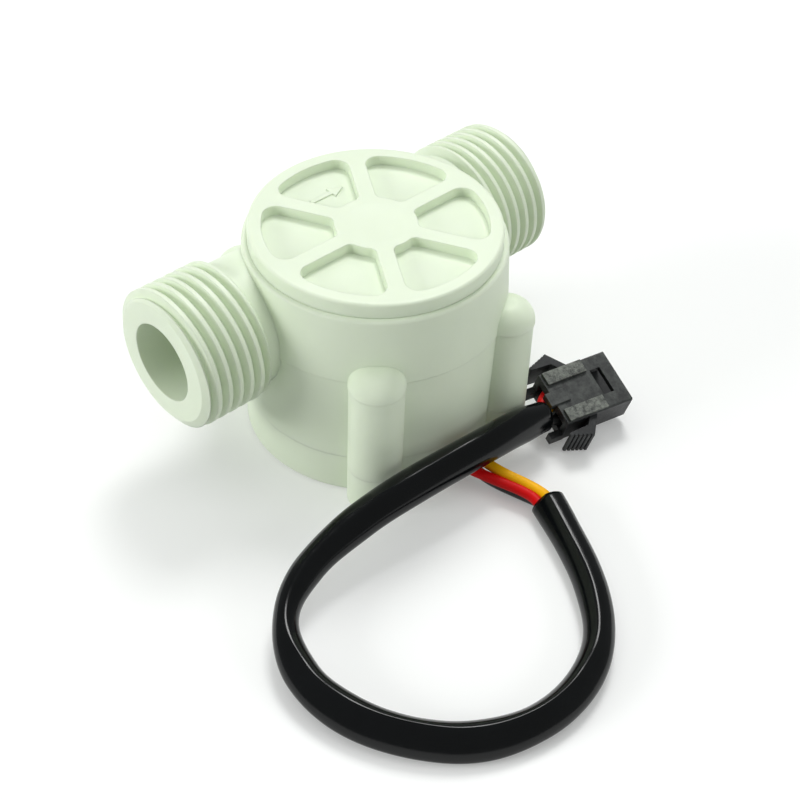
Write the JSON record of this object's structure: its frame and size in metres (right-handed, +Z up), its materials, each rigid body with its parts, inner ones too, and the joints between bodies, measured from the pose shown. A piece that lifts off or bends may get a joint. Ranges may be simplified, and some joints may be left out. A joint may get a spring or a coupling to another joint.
{
  "type": "water flow sensor",
  "caption": "Inline water flow sensor: plastic drum housing with a spoked lid and threaded pipe ports, a magnetic turbine inside, and a sleeved lead ending in a latching plug.",
  "frame": {"origin": "centre of the underside of the housing, where it stands", "axes": "+X along the pipe ports towards the outlet, +Z up through the spoked cover, the lead leaves on the -Y side"},
  "size_m": [0.0776, 0.0824, 0.0344],
  "materials": {
    "housing_plastic": "moulded nylon, off-white with a pale green cast",
    "black_plastic": "moulded black connector plastic",
    "rotor_plastic": "moulded acetal, white",
    "bush_plastic": "turned filled plastic, dark grey",
    "ferrite": "sintered ferrite, dull dark grey",
    "steel": "stainless steel",
    "seal_rubber": "black nitrile rubber",
    "grommet_rubber": "black moulded rubber",
    "board_laminate": "green solder mask on laminate",
    "chip_black": "moulded epoxy package",
    "ceramic": "fired ceramic chip",
    "wire_red": "red insulation",
    "wire_yellow": "yellow insulation",
    "wire_black": "black insulation",
    "sleeve": "glossy black soft sleeve",
    "terminal_metal": "tin-plated contact"
  },
  "bodies": {
    "housing": {"body": "housing_plastic", "top_cover": "housing_plastic", "cover_o_ring": "seal_rubber", "rotor_shaft": "steel", "base_cover": "housing_plastic", "base_gasket": "seal_rubber", "base_screws": "steel", "circuit_board": "board_laminate", "hall_sensor": "chip_black", "capacitor": "ceramic", "resistor": "chip_black", "wire_grommet": "grommet_rubber", "wire_red": "wire_red", "wire_yellow": "wire_yellow", "wire_black": "wire_black", "cable_sleeve": "sleeve", "plug_housing": "black_plastic", "terminal_red": "terminal_metal", "terminal_yellow": "terminal_metal", "terminal_black": "terminal_metal"},
    "rotor": {"rotor": "rotor_plastic", "rotor_magnet": "ferrite", "lower_bush": "bush_plastic", "upper_bush": "bush_plastic"}
  },
  "joints": [
    {"name": "rotor_spin", "type": "hinge", "parent": "housing", "child": "rotor", "pos_m": [0, 0, 0.0196], "axis": [0, 0, 1], "continuous": true}
  ]
}
